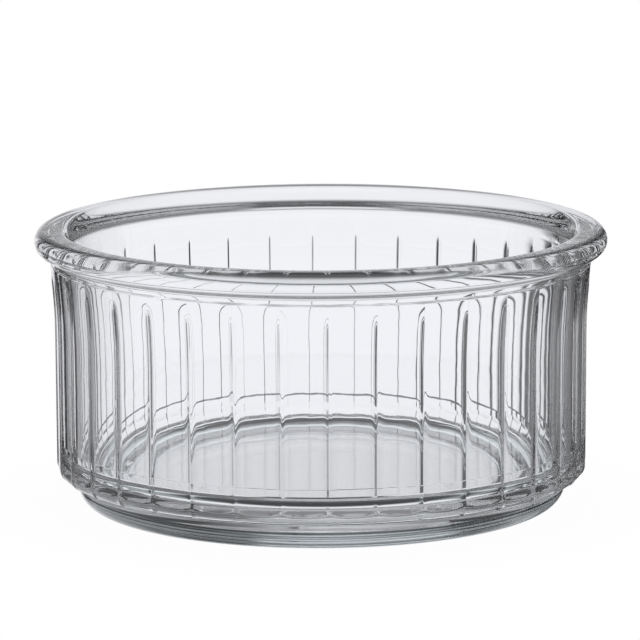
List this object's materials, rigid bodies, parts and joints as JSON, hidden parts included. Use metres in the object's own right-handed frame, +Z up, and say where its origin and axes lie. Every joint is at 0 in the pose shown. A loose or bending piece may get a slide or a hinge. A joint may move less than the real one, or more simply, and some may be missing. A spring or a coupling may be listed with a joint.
{
  "type": "ramekin",
  "caption": "Small round baking dish of clear pressed glass with a rolled rim, flat vertical flutes round a straight wall and a set-in foot to stand on.",
  "frame": {"origin": "on the table, under the centre of the foot ring", "axes": "+Z up along the axis of the dish; a ridge between two flutes faces -Y"},
  "size_m": [0.102, 0.102, 0.0496],
  "materials": {
    "clear_glass": "clear, fire-polished, smooth inside and out"
  },
  "bodies": {
    "root": {"glass_dish": "clear_glass"}
  },
  "joints": []
}
